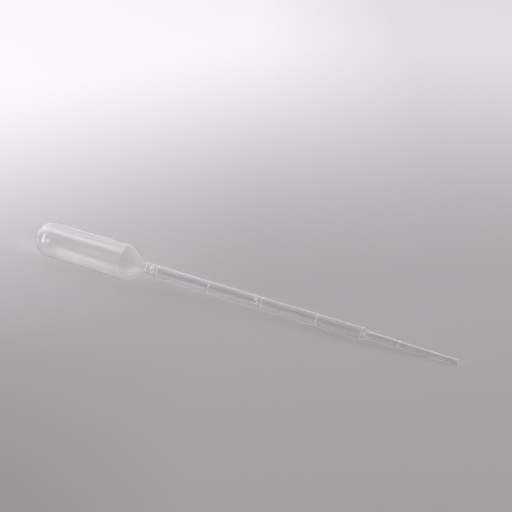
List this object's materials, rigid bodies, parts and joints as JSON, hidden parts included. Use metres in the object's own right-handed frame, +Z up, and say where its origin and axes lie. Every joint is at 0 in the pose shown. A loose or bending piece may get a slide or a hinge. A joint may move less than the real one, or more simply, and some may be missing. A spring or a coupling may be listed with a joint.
{
  "type": "dropper pipette",
  "caption": "Blown dropper pipette with a domed squeeze bulb, a cone shoulder, a stem with raised volume marks and a finer stepped tip, lying at rest.",
  "frame": {"origin": "on the surface that the pipette lies on, below the middle of its length", "axes": "+X runs from the bulb to the tip as the pipette lies, +Z is up, and the raised marks face up and to the -Y side"},
  "size_m": [0.1548, 0.0126, 0.014],
  "materials": {
    "polyethylene": "translucent natural polyethylene, satin, as blown"
  },
  "bodies": {
    "root": {"pipette": "polyethylene"}
  },
  "joints": []
}
